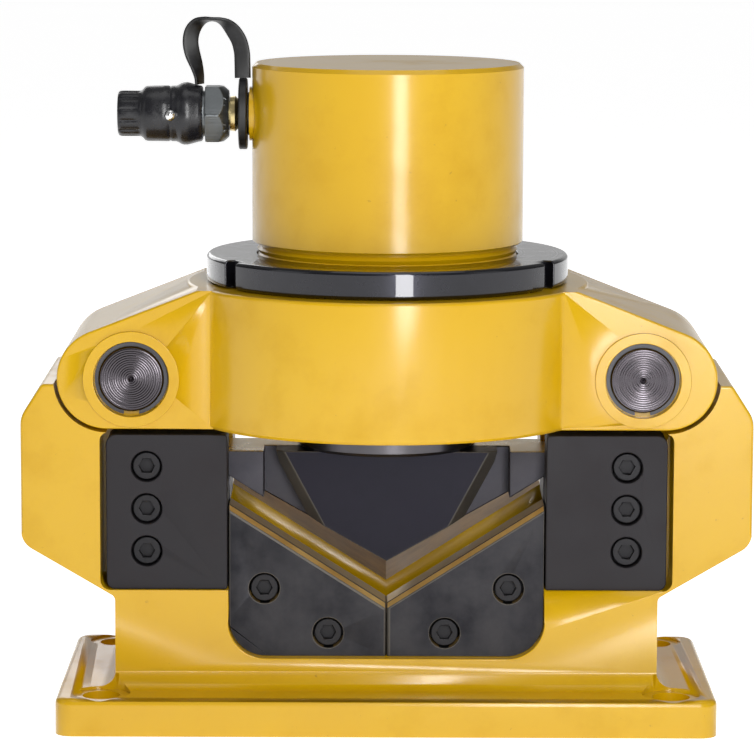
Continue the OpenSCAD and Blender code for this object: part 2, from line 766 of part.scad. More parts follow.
module blade_holder() {
    color(blade_steel) difference() {
        union() {
            // back, with its own V
            along_y(blade_back_y, holder_back_y) polygon(concat([[0, holder_apex_z]],
                both_sides([[leg_x, leg_z], [throat_x, leg_out_z], [throat_x, wing_z],
                    [holder_x, wing_z], [holder_x, holder_top_z]])));
            // legs beside the blade, and the wings behind the guide blocks
            each_side() along_y(blade_y, blade_back_y + eps) polygon([[leg_x, leg_z], [throat_x, leg_out_z],
                [throat_x, wing_z], [holder_x, wing_z], [holder_x, holder_top_z], [leg_x, holder_top_z]]);
        }
        holder_screw_spots() {
            translate([0, 0, throat_z]) cylinder(r = screw_r + 0.5, h = holder_top_z, $fn = 48);
            translate([0, 0, throat_z]) cylinder(r = sink_r, h = holder_screw_z - throat_z, $fn = 48);
        }
        for (p = upper_screws) {
            bar_y(p.x, p.y, screw_r + 0.5, blade_back_y - eps, holder_back_y + eps);
            bar_y(p.x, p.y, sink_r, holder_back_y - sink_t, holder_back_y + eps);
        }
    }
}

module holder_screws() {
    color(black_steel) holder_screw_spots() difference() {
        union() {
            translate([0, 0, holder_screw_z - screw_head_h]) cylinder(r = screw_head_r, h = screw_head_h, $fn = 48);
            translate([0, 0, holder_screw_z - 0.1])
                cylinder(r = screw_r, h = holder_top_z - holder_screw_z + screw_grip, $fn = 48);
        }
        translate([0, 0, holder_screw_z - screw_head_h - eps])
            cylinder(r = screw_key_r, h = screw_head_h / 2 + eps, $fn = 6);
    }
}

upper_screws = [[0, upper_apex_z + 22], [-52, holder_top_z - 14], [52, holder_top_z - 14]];

module upper_blade() {
    top = holder_top_z - 0.2;
    side = atan2(top - 7 - upper_edge_z, upper_top_x - 1.8 - upper_edge_x);
    color(black_steel) difference() {
        along_y(blade_y, blade_back_y) polygon(concat([[0, upper_apex_z]],
            both_sides([[upper_edge_x, upper_edge_z], [upper_top_x - 1.8, top - 7], [upper_top_x, top]])));
        each_side() edge_bevel(upper_edge_x, upper_edge_z, side, blade_y, upper_bevel);
        for (p = upper_screws) bar_y(p.x, p.y, screw_r + fit, blade_back_y - screw_grip, blade_back_y + eps);
    }
}

// screws put in from the back of the holder
module upper_blade_screws() {
    face = holder_back_y - sink_t + screw_head_h;
    color(black_steel) for (p = upper_screws) difference() {
        union() {
            bar_y(p.x, p.y, screw_head_r, face - screw_head_h, face);
            bar_y(p.x, p.y, screw_r, blade_back_y - screw_grip + 2, face - screw_head_h + 0.1);
        }
        bar_y(p.x, p.y, screw_key_r, face - screw_head_h / 2, face + eps, 6);
    }
}

// ---------------------------------------------------------------- port, coupler and cap

module port_nipple() {
    seat = boss_face + 1;
    color(brass) at_port() turned([[oil_r, bore_r + 9], [thread_r, bore_r + 9], [thread_r, boss_face],
        [nipple_r, boss_face + 0.01], [nipple_r, seat], [thread_r, seat], [thread_r, seat + ring_seat],
        [nipple_r - 1.5, seat + ring_seat], [nipple_r + 0.5, seat + ring_seat + 2], [nipple_r, nipple_end - 0.5],
        [thread_r, nipple_end - 0.5], [thread_r, nipple_end + 12], [oil_r, nipple_end + 12]]);
}

module port_seal() {
    color(rubber_black) at_port() ring(nipple_r + 0.2, nipple_r + 2.6, boss_face, boss_face + 1);
}

module coupler_body() {
    color(bright_steel) at_port() difference() {
        union() {
            // hexagon for the spanner, its corners eased towards the nipple
            intersection() {
                turned([[0, nipple_end], [coupler_r - 2.5, nipple_end], [hex_r, nipple_end + 6],
                    [hex_r, cap_start - 2.5], [hex_r - 1, cap_start - 1.5], [0, cap_start - 1.5]]);
                translate([0, 0, nipple_end - eps]) rotate(30) cylinder(r = hex_r, h = coupler_l, $fn = 6);
            }
            turned([[0, cap_start - 2], [sleeve_r, cap_start - 2], [sleeve_r, coupler_end - 16],
                [spout_r, coupler_end - 14], [spout_r, coupler_end - 1], [spout_r - 1, coupler_end],
                [0, coupler_end]]);
        }
        translate([0, 0, nipple_end - eps]) cylinder(r = thread_r + fit, h = 13 + eps);
        translate([0, 0, nipple_end]) cylinder(r = oil_r, h = coupler_l, $fn = 48);
        translate([0, 0, nipple_end + 16]) cylinder(r = valve_r + 1.5, h = valve_seat - nipple_end - 16);
        translate([0, 0, valve_seat - 0.01]) cylinder(r = valve_r - 1, h = coupler_l);
    }
}

module coupler_spring_seat() {
    color(bright_steel) at_port() ring(oil_r, valve_r + 1.4, nipple_end + 16, nipple_end + 18);
}

module coupler_poppet() {
    color(brass) at_port() turned([[0, valve_seat - poppet_l], [oil_r - 0.6, valve_seat - poppet_l],
        [oil_r - 0.6, valve_seat - 4], [valve_r, valve_seat - 4], [valve_r, valve_seat - 0.4],
        [valve_r - 2, valve_seat - 0.4], [oil_r - 1, valve_seat + 9], [0, valve_seat + 9]]);
}

module poppet_seal() {
    color(rubber_black) at_port() ring(valve_r, valve_r + 1.1, valve_seat - 3.4, valve_seat - 1.4);
}

module poppet_spring() {
    color(bright_steel) at_port() coil(valve_r - 1.6, 0.6, nipple_end + 18 + poppet_stroke + 0.2, valve_seat - 4.1, 5, 6, 16);
}

// soft cap pushed over the coupler's end, with grip flutes and a ring that takes the strap
module dust_cap() {
    end = cap_start + cap_l;
    body_r = cap_r - 2;
    tip_r = cap_r - 5;
    inner = sleeve_r + body_gap;
    color(rubber_black) at_port() difference() {
        turned(concat([[inner, cap_start], [body_r, cap_start], [cap_r - 1, cap_start + 5],
            [cap_r, cap_start + 8]], arc([cap_r - 2, cap_start + 11], 2, 0, 90),
            [[body_r, cap_start + 16], [body_r, end - 17], [tip_r, end - 14]],
            arc([tip_r - 1.5, end - 1.5], 1.5, 0, 90), [[0, end], [0, end - cap_wall - 2],
            [spout_r + body_gap, end - cap_wall - 2], [spout_r + body_gap, coupler_end - 13],
            [inner, coupler_end - 15]]));
        for (a = [0:30:330]) rotate(a + 15) translate([tip_r + 1.4, 0, end - 13])
            cylinder(r = 2, h = 12, $fn = 24);
        translate([0, 0, stud_at]) rotate([0, -90, 0]) rotate([90, 0, 0]) translate([0, 0, stud_seat])
            cylinder(r = stud_r + fit, h = 10, $fn = 48);
    }
}

module cap_stud() {
    color(bright_steel) translate([-stud_at, 0, port_z]) rotate([90, 0, 0]) rotate_extrude()
        polygon(concat([[0, stud_seat], [stud_r, stud_seat]], arc([0, cap_r - 2], stud_r, 0, 90)));
}

module strap_ring() {
    color(rubber_black) at_port()
        ring(thread_r + 0.2, strap_ring_r, strap_ring_at - strap_ring_t / 2, strap_ring_at + strap_ring_t / 2);
}

// the strap's course in the XZ plane, chosen by hand: [out from the strap's ring, up from the coupler's skin, turn]
strap_course = [[0.3, 4.85, 90], [0.4, 9.5, 88], [0.5, 14.5, 85], [0.8, 20, 82], [2.4, 26.5, 78], [5.6, 32, 68],
    [9.4, 36, 45], [13.6, 38.4, 20], [18, 39.2, 8], [22.5, 38.8, 20], [27, 36.4, 48], [30, 32, 68], [31, 26, 75],
    [30, 19.5, 68], [27.5, 12, 45], [26, 5.8, 30], [25.7, 1.1, 25]];

// the strap: a flat band carried along its course, turning as it goes
module cap_strap() {
    n = len(strap_course);
    pts = [for (p = strap_course) [-strap_ring_at - p.x, p.y + coupler_r + port_z]];
    rings = [for (i = [0:n - 1]) let (a = pts[max(i - 1, 0)], b = pts[min(i + 1, n - 1)],
        t = (b - a) / norm(b - a), side = [t.y, -t.x], turn = strap_course[i][2],
        wide = [side.x * sin(turn), -cos(turn), side.y * sin(turn)],
        thin = [side.x * cos(turn), sin(turn), side.y * cos(turn)])
        for (c = [[-1, -1], [1, -1], [1, 1], [-1, 1]])
            [pts[i].x, 0, pts[i].y] + wide * c[0] * strap_w / 2 + thin * c[1] * strap_t / 2];
    walls = [for (i = [0:n - 2], j = [0:3]) let (k = (j + 1) % 4)
        each [[i * 4 + j, i * 4 + k, (i + 1) * 4 + k], [i * 4 + j, (i + 1) * 4 + k, (i + 1) * 4 + j]]];
    color(rubber_black) polyhedron(points = rings,
        faces = concat(walls, [[3, 2, 1, 0]], [[for (j = [0:3]) (n - 1) * 4 + j]]), convexity = 6);
}

frame();
yoke();
pin_left();
pin_right();
pin_circlips();
lower_blade_left();
lower_blade_right();
lower_blade_screws();
guide_block_left();
guide_block_right();
guide_block_screws();
cylinder_body();
lock_ring();
gland_nut();
gland_seal();
rod_bearing();
rod_seal();
rod_wiper();
return_spring();
piston();
piston_seal();
piston_wear_ring();
piston_nut();
rod();
ram_head();
ram_head_screw();
blade_holder();
holder_screws();
upper_blade();
upper_blade_screws();
port_nipple();
port_seal();
coupler_body();
coupler_spring_seat();
coupler_poppet();
poppet_seal();
poppet_spring();
dust_cap();
cap_stud();
strap_ring();
cap_strap();
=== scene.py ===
"""Looks of the hydraulic angle steel cutter head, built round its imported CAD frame."""
import json
import math

import bmesh
import bpy
import numpy as np
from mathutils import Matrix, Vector


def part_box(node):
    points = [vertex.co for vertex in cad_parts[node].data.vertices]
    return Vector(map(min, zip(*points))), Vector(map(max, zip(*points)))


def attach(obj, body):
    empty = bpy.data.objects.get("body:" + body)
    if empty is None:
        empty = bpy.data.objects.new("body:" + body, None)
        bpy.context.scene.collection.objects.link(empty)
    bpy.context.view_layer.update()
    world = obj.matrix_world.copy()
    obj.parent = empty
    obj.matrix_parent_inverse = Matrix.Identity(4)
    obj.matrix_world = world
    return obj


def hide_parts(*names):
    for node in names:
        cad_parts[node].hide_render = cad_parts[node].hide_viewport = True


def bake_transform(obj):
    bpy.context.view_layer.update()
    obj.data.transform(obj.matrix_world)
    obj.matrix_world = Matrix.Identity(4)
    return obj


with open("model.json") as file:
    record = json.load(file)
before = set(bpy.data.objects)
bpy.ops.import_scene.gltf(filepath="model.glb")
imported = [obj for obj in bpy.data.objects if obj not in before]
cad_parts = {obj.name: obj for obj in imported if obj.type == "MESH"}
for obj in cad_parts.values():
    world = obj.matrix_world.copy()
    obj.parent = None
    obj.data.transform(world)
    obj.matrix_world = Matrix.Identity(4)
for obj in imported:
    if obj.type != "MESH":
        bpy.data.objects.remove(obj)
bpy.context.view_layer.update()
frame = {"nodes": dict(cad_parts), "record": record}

MM = 0.001


# ---------------------------------------------------------------- places, from the frame

def middle(node):
    """Centre of a CAD node's box at rest."""
    low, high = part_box(node)
    return (np.array(low) + np.array(high)) / 2


def size(node):
    """Lengths of the sides of a CAD node's box."""
    low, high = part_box(node)
    return np.array(high) - np.array(low)


pin_at = tuple(abs(float(v)) for v in middle("pin_left"))
port_z = middle("port_nipple")[2]
strap_ring_x = middle("strap_ring")[0]
cap_low, cap_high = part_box("dust_cap")
coupler_flat = size("coupler_body")[2] / 2
knife_low, knife_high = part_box("lower_blade_right")
throat_half, shear_y, throat_low = knife_high[0] / MM, knife_high[1] / MM, knife_low[2] / MM
throat_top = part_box("guide_block_right")[0][2] / MM - 0.2
collar_half = size("yoke")[1] / 2 / MM
holder_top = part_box("blade_holder")[1][2] / MM
FRAME_FACE = 60.0  # mm, the front and back faces of the frame and the ears
BASE_TOP = 22.0    # mm
NEAR = 0.2         # mm, how close counts as on a face


# ---------------------------------------------------------------- camera, light and floor

CAMERA_AT = (-7 * MM, -2.247, 0.517)
CAMERA_PITCH = math.radians(8.02)
CAMERA_ROLL = math.radians(-0.2)
CAMERA_LENS = 182
FLOOR_R = 25  # m
FLOOR_SIDES = 96


def add_camera():
    """A long lens a little above the object, level with its front."""
    data = bpy.data.cameras.new("camera")
    data.lens = CAMERA_LENS
    data.sensor_width = 36
    data.clip_end = 20
    camera = bpy.data.objects.new("camera", data)
    camera.location = CAMERA_AT
    camera.rotation_euler = (math.pi / 2 - CAMERA_PITCH, CAMERA_ROLL, 0)
    bpy.context.scene.collection.objects.link(camera)
    bpy.context.scene.camera = camera


def add_softbox(name, at, aim, width, height, power):
    """A rectangular area light that faces the point aim."""
    data = bpy.data.lights.new(name, "AREA")
    data.shape = "RECTANGLE"
    data.size = width
    data.size_y = height
    data.energy = power
    light = bpy.data.objects.new(name, data)
    light.location = at
    light.rotation_euler = (Vector(aim) - Vector(at)).to_track_quat("-Z", "Y").to_euler()
    bpy.context.scene.collection.objects.link(light)


def add_floor():
    """A pale disc that the base stands on."""
    turn = np.linspace(0, 2 * np.pi, FLOOR_SIDES, endpoint=False)
    points = np.stack([FLOOR_R * np.cos(turn), FLOOR_R * np.sin(turn), np.zeros(FLOOR_SIDES)], axis=1)
    mesh = bpy.data.meshes.new("floor")
    mesh.from_pydata(points.tolist(), [], [list(range(FLOOR_SIDES))])
    floor = bpy.data.objects.new("floor", mesh)
    bpy.context.scene.collection.objects.link(floor)
    return floor


add_camera()
add_softbox("key", (0.27, -1.5, 0.86), (0, 0, 0.86), 0.28, 1.6, 21)
add_softbox("back", (-0.9, 2.3, 1.2), (0, 0, 0.2), 1.4, 1.4, 9)
add_softbox("fill_left", (-2.2, -0.9, 1.2), (0, 0, 0.2), 1.0, 1.6, 3)
add_softbox("fill_right", (2.2, -0.9, 1.2), (0, 0, 0.2), 1.0, 1.6, 2.5)
add_softbox("top", (0.1, -0.1, 2.4), (0, 0, 0.2), 1.6, 1.2, 6)
floor = add_floor()
bpy.context.scene.view_settings.view_transform = "Standard"


# ---------------------------------------------------------------- shader arithmetic

class Field:
    """A socket of a material, with arithmetic: an expression on fields adds its Math nodes."""

    def __init__(self, tree, socket=None):
        self.tree = tree
        self.socket = socket

    def node(self, kind, settings=None, inputs=None, out=0):
        """Adds one node: its settings first, then its sockets' values or links; gives output out."""
        node = self.tree.nodes.new(kind)
        for name, value in (settings or {}).items():
            if name == "stops":
                set_stops(node.color_ramp, value)
            else:
                setattr(node, name, value)
        for name, value in (inputs or {}).items():
            plug(self.tree, find_socket(node.inputs, name), value)
        return Field(self.tree, find_socket(node.outputs, out))

    def math(self, operation, *values):
        """A Math node on this field and other values."""
        return self.node("ShaderNodeMath", {"operation": operation}, dict(enumerate((self, *values))))

    def __add__(self, other):
        return self.math("ADD", other)

    def __sub__(self, other):
        return self.math("SUBTRACT", other)

    def __mul__(self, other):
        return self.math("MULTIPLY", other)

    def __rsub__(self, other):
        return self * -1 + other

    __radd__ = __add__
    __rmul__ = __mul__


def find_socket(sockets, name):
    """A socket by its place, its identifier or its name."""
    if isinstance(name, int):
        return sockets[name]
    for socket in sockets:
        if socket.identifier == name:
            return socket
    return sockets[name]


def plug(tree, socket, value):
    """Links a field to a socket, or sets the socket's own value."""
    if isinstance(value, Field):
        tree.links.new(value.socket, socket)
    elif isinstance(value, tuple) and len(value) == 3 and socket.type == "RGBA":
        socket.default_value = (*value, 1)
    else:
        socket.default_value = value


def set_stops(scale, stops):
    """Gives a colour ramp its stops: (position, grey level or colour)."""
    while len(scale.elements) > len(stops):
        scale.elements.remove(scale.elements[-1])
    while len(scale.elements) < len(stops):
        scale.elements.new(1.0)
    for element, (position, value) in zip(scale.elements, stops):
        element.position = position
        colour = value if isinstance(value, tuple) else (value, value, value)
        element.color = (*colour, 1)


def srgb(red, green, blue):
    """A colour given as seen, 0 to 255, as linear light."""
    seen = np.array([red, green, blue]) / 255
    low, high = seen / 12.92, ((seen + 0.055) / 1.055) ** 2.4
    return tuple(float(v) for v in np.where(seen <= 0.04045, low, high))


def mix(mask, low, high):
    """Colour low where the mask is 0 and high where it is 1."""
    return mask.node("ShaderNodeMix", {"data_type": "RGBA"},
                     {"Factor_Float": mask, "A_Color": low, "B_Color": high}, "Result_Color")


def ramp(value, *stops):
    """The value passed through a ramp of (position, level) stops."""
    return value.node("ShaderNodeValToRGB", {"stops": stops}, {"Fac": value})


def start_material(name):
    """A new material: its object coordinates and a function that finishes it."""
    material = bpy.data.materials.new(name)
    material.use_nodes = True
    tree = material.node_tree
    shader = tree.nodes["Principled BSDF"]
    place = Field(tree).node("ShaderNodeTexCoord", out="Object")

    def finish(**sockets):
        for name, value in sockets.items():
            plug(tree, shader.inputs[name.replace("_", " ")], value)
        return material

    return place, finish


def vector(field, operation, *values, out="Vector"):
    """A Vector Math node on a field and other vectors."""
    places = dict(enumerate((field, *values)))
    return field.node("ShaderNodeVectorMath", {"operation": operation}, places, out)


def noise(place, scale, detail=3, rough=0.5, stretch=(1, 1, 1)):
    """Noise with that many features to the metre, stretched along the axes."""
    where = place
    if stretch != (1, 1, 1):
        where = place.node("ShaderNodeMapping", {}, {"Vector": place, "Scale": stretch})
    return place.node("ShaderNodeTexNoise", {},
                      {"Vector": where, "Scale": scale, "Detail": detail, "Roughness": rough}, "Fac")


def bump(height, distance, strength=1.0, under=None):
    """A surface raised by height times distance, over another bump if one is given."""
    inputs = {"Height": height, "Distance": distance, "Strength": strength}
    if under is not None:
        inputs["Normal"] = under
    return height.node("ShaderNodeBump", {}, inputs, "Normal")


# ---------------------------------------------------------------- finishes

def light_world():
    """A white surround that lights softly: dim round the horizon, bright overhead and behind."""
    world = bpy.data.worlds.new("studio")
    world.use_nodes = True
    tree = world.node_tree
    direction = Field(tree).node("ShaderNodeTexCoord", out="Generated")
    height = direction.node("ShaderNodeSeparateXYZ", {}, {"Vector": direction}, "Z")
    away = direction.node("ShaderNodeSeparateXYZ", {}, {"Vector": direction}, "Y")
    sky = ramp(height, (0.0, 0.10), (0.35, 0.14), (0.9, 0.24))
    behind = ramp(away, (0.80, 0.0), (0.93, 1.0))
    glow = mix(behind, sky, (0.5, 0.5, 0.5))
    seen = direction.node("ShaderNodeLightPath", out="Is Camera Ray")
    background = tree.nodes["Background"]
    tree.links.new(mix(seen, glow, (1.0, 1.0, 1.0)).socket, background.inputs["Color"])
    bpy.context.scene.world = world


def yellow_enamel(name):
    """Sprayed machine enamel: faint orange peel, slight clouding, a few dull patches and tiny dirt
    specks."""
    place, finish = start_material(name)
    cloud = noise(place, 9, 4)
    peel = noise(place, 420, 2)
    cast = noise(place, 70, 3)
    dust = ramp(noise(place, 22, 6, 0.7), (0.50, 0.0), (0.78, 1.0))
    speck = ramp(noise(place, 160, 3, 0.8), (0.70, 0.0), (0.76, 1.0))
    colour = mix(cloud, srgb(194, 148, 0), srgb(207, 166, 0))
    colour = mix(dust * 0.35, colour, srgb(166, 120, 6))
    colour = mix(speck * 0.45, colour, srgb(120, 86, 30))
    normal = bump(cast, 0.5 * MM, 0.22)
    return finish(Base_Color=colour, Roughness=dust * 0.16 + 0.34, Metallic=0.0,
                  Specular_IOR_Level=0.2, Coat_Weight=0.8 - dust * 0.4, Coat_Roughness=0.18,
                  Normal=bump(peel, 0.05 * MM, 0.35, normal))


def worn_bed_and_painted_shade(name):
    """The V that bars slide through: oily steel, browned, with streaks along the bar. Its dark brown also
    paints the shade that falls in the V under the yoke.
    """
    place, finish = start_material(name)
    streak = noise(place, 60, 4, 0.6, (1, 0.12, 1))
    stain = ramp(noise(place, 30, 5, 0.65), (0.40, 0.0), (0.70, 1.0))
    # worn brown steel, darkened as well to paint the shade in the V under the yoke
    colour = mix(stain * 0.6, mix(streak, srgb(146, 114, 64), srgb(194, 154, 90)), srgb(100, 76, 44))
    return finish(Base_Color=colour, Roughness=streak * 0.2 + 0.55, Metallic=0.2,
                  Normal=bump(streak, 0.1 * MM, 0.4))


def dark_steel(name, tone, sheen, rough, metal=0.75, mottle=0.35, grain=(1, 1, 1)):
    """Blackened or oily ground steel: mottled tone, fine grinding grain along one axis."""
    place, finish = start_material(name)
    patch = ramp(noise(place, 28, 5, 0.6), (0.35, 0.0), (0.68, 1.0))
    fine = noise(place, 260, 4, 0.6, grain)
    colour = mix(patch * mottle, tone, sheen)
    colour = mix(fine * 0.18, colour, sheen)
    return finish(Base_Color=colour, Roughness=patch * 0.16 + fine * 0.1 + rough,
                  Metallic=metal, Normal=bump(fine, 0.08 * MM, 0.5))


def turned_steel(name, centre, axis, tone, rough, pitch=0.7, metal=1.0, coat=0.0, depth=0.06, pair=False):
    """Metal turned in a lathe: fine rings about a centre, across the axis x, y or z. A pair is two
    parts, one each side of the middle, with the same rings."""
    place, finish = start_material(name)
    flat = {"x": (0, 1, 1), "y": (1, 0, 1), "z": (1, 1, 0)}[axis]
    spot = vector(place, "ABSOLUTE") if pair else place
    radius = vector(vector(vector(spot, "SUBTRACT", centre), "MULTIPLY", flat), "LENGTH", out="Value")
    groove = (radius * (2 * math.pi / (pitch * MM))).math("SINE") * 0.5 + 0.5
    stain = ramp(noise(place, 60, 5, 0.65), (0.40, 0.0), (0.75, 1.0))
    band = place.node("ShaderNodeTexNoise", {"noise_dimensions": "1D"},
                      {"W": radius * 900, "Scale": 1.0, "Detail": 3.0}, "Fac")
    colour = mix(stain * 0.35, tone, tuple(v * 0.55 for v in tone))
    return finish(Base_Color=colour, Roughness=stain * 0.12 + band * 0.12 + rough, Metallic=metal,
                  Coat_Weight=coat, Normal=bump(groove * 0.6 + band * 0.6, depth * MM, 0.6))


def soft_rubber(name, tone, rough=0.45):
    """Moulded rubber: fine matte grain and a little dust."""
    place, finish = start_material(name)
    grain = noise(place, 900, 3)
    dust = ramp(noise(place, 120, 5, 0.7), (0.48, 0.0), (0.80, 1.0))
    colour = mix(dust * 0.12, tone, srgb(92, 92, 96))
    return finish(Base_Color=colour, Roughness=dust * 0.2 + rough, Metallic=0.0,
                  Normal=bump(grain, 0.05 * MM, 0.5))


PORT_CENTRE = (0, 0, float(port_z))
enamel = yellow_enamel("yellow_enamel")
finishes = {
    "yellow_paint": enamel,
    "pin_steel": turned_steel("pin_face", pin_at, "y", srgb(80, 76, 80), 0.1, 1.3, depth=0.3, pair=True),
    "spring_steel": dark_steel("phosphated_spring_steel", srgb(58, 58, 62), srgb(120, 120, 122), 0.35),
    "lower_blade_steel": dark_steel("oiled_blade_steel", srgb(22, 22, 27), srgb(72, 71, 73), 0.32,
                                    0.85, 0.6, (1, 1, 0.2)),
    "screw_steel": dark_steel("black_oxide_screws", srgb(34, 34, 36), srgb(66, 64, 66), 0.42),
    "guide_steel": dark_steel("guide_block_steel", srgb(28, 26, 30), srgb(46, 42, 45), 0.5, 0.4, 0.5),
    "blackened_steel": turned_steel("lock_ring_steel", (0, 0, 0), "z", srgb(36, 36, 43), 0.2, 0.9, 0.9, 1.0),
    "machined_steel": turned_steel("machined_steel", (0, 0, 0), "z", srgb(186, 186, 184), 0.25),
    "seal_rubber": soft_rubber("seal_rubber", srgb(24, 24, 26)),
    "bearing_bronze": turned_steel("bearing_bronze", (0, 0, 0), "z", srgb(190, 150, 90), 0.3),
    "chromed_rod": turned_steel("chromed_rod", (0, 0, 0), "z", srgb(215, 215, 218), 0.1),
    "dark_ram_steel": turned_steel("ram_head_steel", (0, 0, 0), "z", srgb(96, 94, 98), 0.24),
    "holder_steel": dark_steel("holder_steel", srgb(46, 45, 52), srgb(92, 90, 94), 0.32, 0.7),
    "upper_blade_steel": dark_steel("upper_blade_steel", srgb(16, 15, 25), srgb(40, 38, 50), 0.34,
                                    0.7, 0.4, (1, 1, 0.2)),
    "nipple_brass": turned_steel("plated_brass", PORT_CENTRE, "x", srgb(226, 206, 150), 0.2),
    "coupler_steel": turned_steel("coupler_steel", PORT_CENTRE, "x", srgb(120, 124, 126), 0.3),
    "cap_rubber": soft_rubber("cap_rubber", srgb(22, 22, 26), 0.26),
    "stud_steel": turned_steel("stud_steel", PORT_CENTRE, "y", srgb(235, 235, 235), 0.15),
    "strap_rubber": soft_rubber("strap_rubber", srgb(9, 9, 11), 0.40),
}


def paint_nodes():
    """Gives every CAD node the finish of its material slot."""
    for part in frame["record"]["subparts"]:
        node = frame["nodes"][part["node"]]
        node.data.materials.clear()
        node.data.materials.append(finishes[part["material_slot"]])


def paint_floor():
    """A pale matt floor."""
    place, finish = start_material("pale_floor")
    pale = mix(noise(place, 3, 2), (0.86, 0.86, 0.86), (0.9, 0.9, 0.9))
    floor.data.materials.append(finish(Base_Color=pale, Roughness=0.9, Emission_Color=(1, 1, 1, 1),
                                       Emission_Strength=0.8))


paint_nodes()
paint_floor()
light_world()


# ---------------------------------------------------------------- pieces from the CAD shapes

EASED_FROM = 30   # degrees; flatter edges are left as they are
SHARP_FROM = 40   # degrees, on the surfaces worked out here
SIDE_FROM = 193.5  # mm, how far out the sides of the casting's outline begin
FLARE_Z, FLARE_HALF = 94, 20  # mm, the height of the flare's middle and half its extent


def body_of(node):
    """The CAD body that a node belongs to."""
    return next(b for b, nodes in frame["record"]["behaviour"]["bodies"].items() if node in nodes)


def slot_of(node):
    """The record's material slot of a CAD node."""
    return next(p["material_slot"] for p in frame["record"]["subparts"] if p["node"] == node)


def add_piece(name, mesh, node, materials=None, riding=True):
    """A new object for a mesh that stands for a CAD node, riding on the node's body."""
    piece = bpy.data.objects.new(name, mesh)
    bpy.context.scene.collection.objects.link(piece)
    for material in materials or [finishes[slot_of(node)]]:
        mesh.materials.append(material)
    if riding:
        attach(piece, body_of(node))
    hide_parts(node)
    slot_of(node)
    return piece


def read(items, key, width=1, kind=float):
    """One value, or a row of values, of every vertex, edge, loop or face of a mesh."""
    values = np.empty(len(items) * width, kind)
    items.foreach_get(key, values)
    return values.reshape(-1, width) if width > 1 else values


def edge_facts(mesh):
    """For every edge: its middle, its direction, how far its faces turn in degrees, and if it is convex.
    A face's loop runs round it, so normal x direction points from the edge into that face; the edge is
    convex when that way leads behind the other face."""
    points = read(mesh.vertices, "co", 3)
    ends = read(mesh.edges, "vertices", 2, int)
    loop_edge = read(mesh.loops, "edge_index", 1, int)
    loop_point = read(mesh.loops, "vertex_index", 1, int)
    count = read(mesh.polygons, "loop_total", 1, int)
    loop_normal = np.repeat(read(mesh.polygons, "normal", 3), count, axis=0)
    order = np.argsort(loop_edge, kind="stable")
    first = order[np.searchsorted(loop_edge[order], np.arange(len(ends)))]
    last = order[np.searchsorted(loop_edge[order], np.arange(len(ends)), side="right") - 1]
    way = points[ends[:, 1]] - points[ends[:, 0]]
    length = np.linalg.norm(way, axis=1)
    way = way / np.maximum(length, 1e-12)[:, None]
    forward = np.where(loop_point[first] == ends[:, 0], 1.0, -1.0)[:, None] * way
    into = np.cross(loop_normal[first], forward)
    convex = np.einsum("ij,ij->i", into, loop_normal[last]) < 0
    alike = np.einsum("ij,ij->i", loop_normal[first], loop_normal[last])
    turn = np.degrees(np.arccos(np.clip(alike, -1, 1)))
    return (points[ends[:, 0]] + points[ends[:, 1]]) / 2, way, turn, convex


def eased_copy(node, name, widths, materials=None, faces=None, edge_slot=-1):
    """A CAD node's shape as one closed skin of flat faces whose convex edges are eased. widths gives
    the easing of each edge in mm from its middle and direction; faces gives each face's material
    number from its normal and centre."""
    skin = bmesh.new()
    skin.from_mesh(frame["nodes"][node].data)
    bmesh.ops.remove_doubles(skin, verts=skin.verts, dist=2e-6)
    bmesh.ops.dissolve_limit(skin, angle_limit=math.radians(0.4), verts=skin.verts, edges=skin.edges)
    mesh = bpy.data.meshes.new(name)
    skin.to_mesh(mesh)
    skin.free()
    mesh.shade_smooth()
    mesh.set_sharp_from_angle(angle=math.radians(EASED_FROM))
    middle_of, way, turn, convex = edge_facts(mesh)
    width = (widths(middle_of / MM, way) if callable(widths) else widths) * convex * (turn > EASED_FROM)
    weight = mesh.attributes.new("bevel_weight_edge", "FLOAT", "EDGE")
    weight.data.foreach_set("value", width / width.max())
    if faces is not None:
        chosen = faces(read(mesh.polygons, "normal", 3), read(mesh.polygons, "center", 3) / MM)
        mesh.polygons.foreach_set("material_index", chosen.astype(int))
    piece = add_piece(name, mesh, node, materials)
    ease = piece.modifiers.new("eased_edges", "BEVEL")
    ease.width = width.max() * MM
    ease.segments = 3
    ease.limit_method = "WEIGHT"
    ease.harden_normals = True
    ease.use_clamp_overlap = False
    ease.material = edge_slot
    return piece


def casting_widths(middle_of, _):
    """Rounds the sides of the casting's outline on its faces and the mouth of the throat. The sloping
    edges of the flare stay sharp: the pocket's corner leaves no room for an easing there."""
    x, y, z = np.abs(middle_of[:, 0]), np.abs(middle_of[:, 1]), middle_of[:, 2]
    face = np.abs(y - FRAME_FACE) < NEAR
    flare = np.abs(z - FLARE_Z) < FLARE_HALF
    outline = face & (x > SIDE_FROM) & (z > BASE_TOP + 10) & ~flare
    mouth = face & (x < throat_half + NEAR) & (z < throat_top) & (z > BASE_TOP + 10)
    return np.where(outline, 1.6, np.where(mouth, 0.8, 0.0))


def yoke_widths(middle_of, _):
    """Rounds the ears' outline, eases the rims of the bores and the bosses."""
    x, y = np.abs(middle_of[:, 0]), np.abs(middle_of[:, 1])
    face = np.abs(y - FRAME_FACE) < NEAR
    ear = face & (x > collar_half - 9)
    return np.where(ear, 1.4, 0.4)


def knife_faces(normal, _):
    """The V's own faces and bevel, which slope upwards, are number 1: golden, a straw oil tint together with
    a painted reflection of the yellow yoke.
    """
    return (normal[:, 2] > 0.3) & (np.abs(normal[:, 2]) < 0.95)


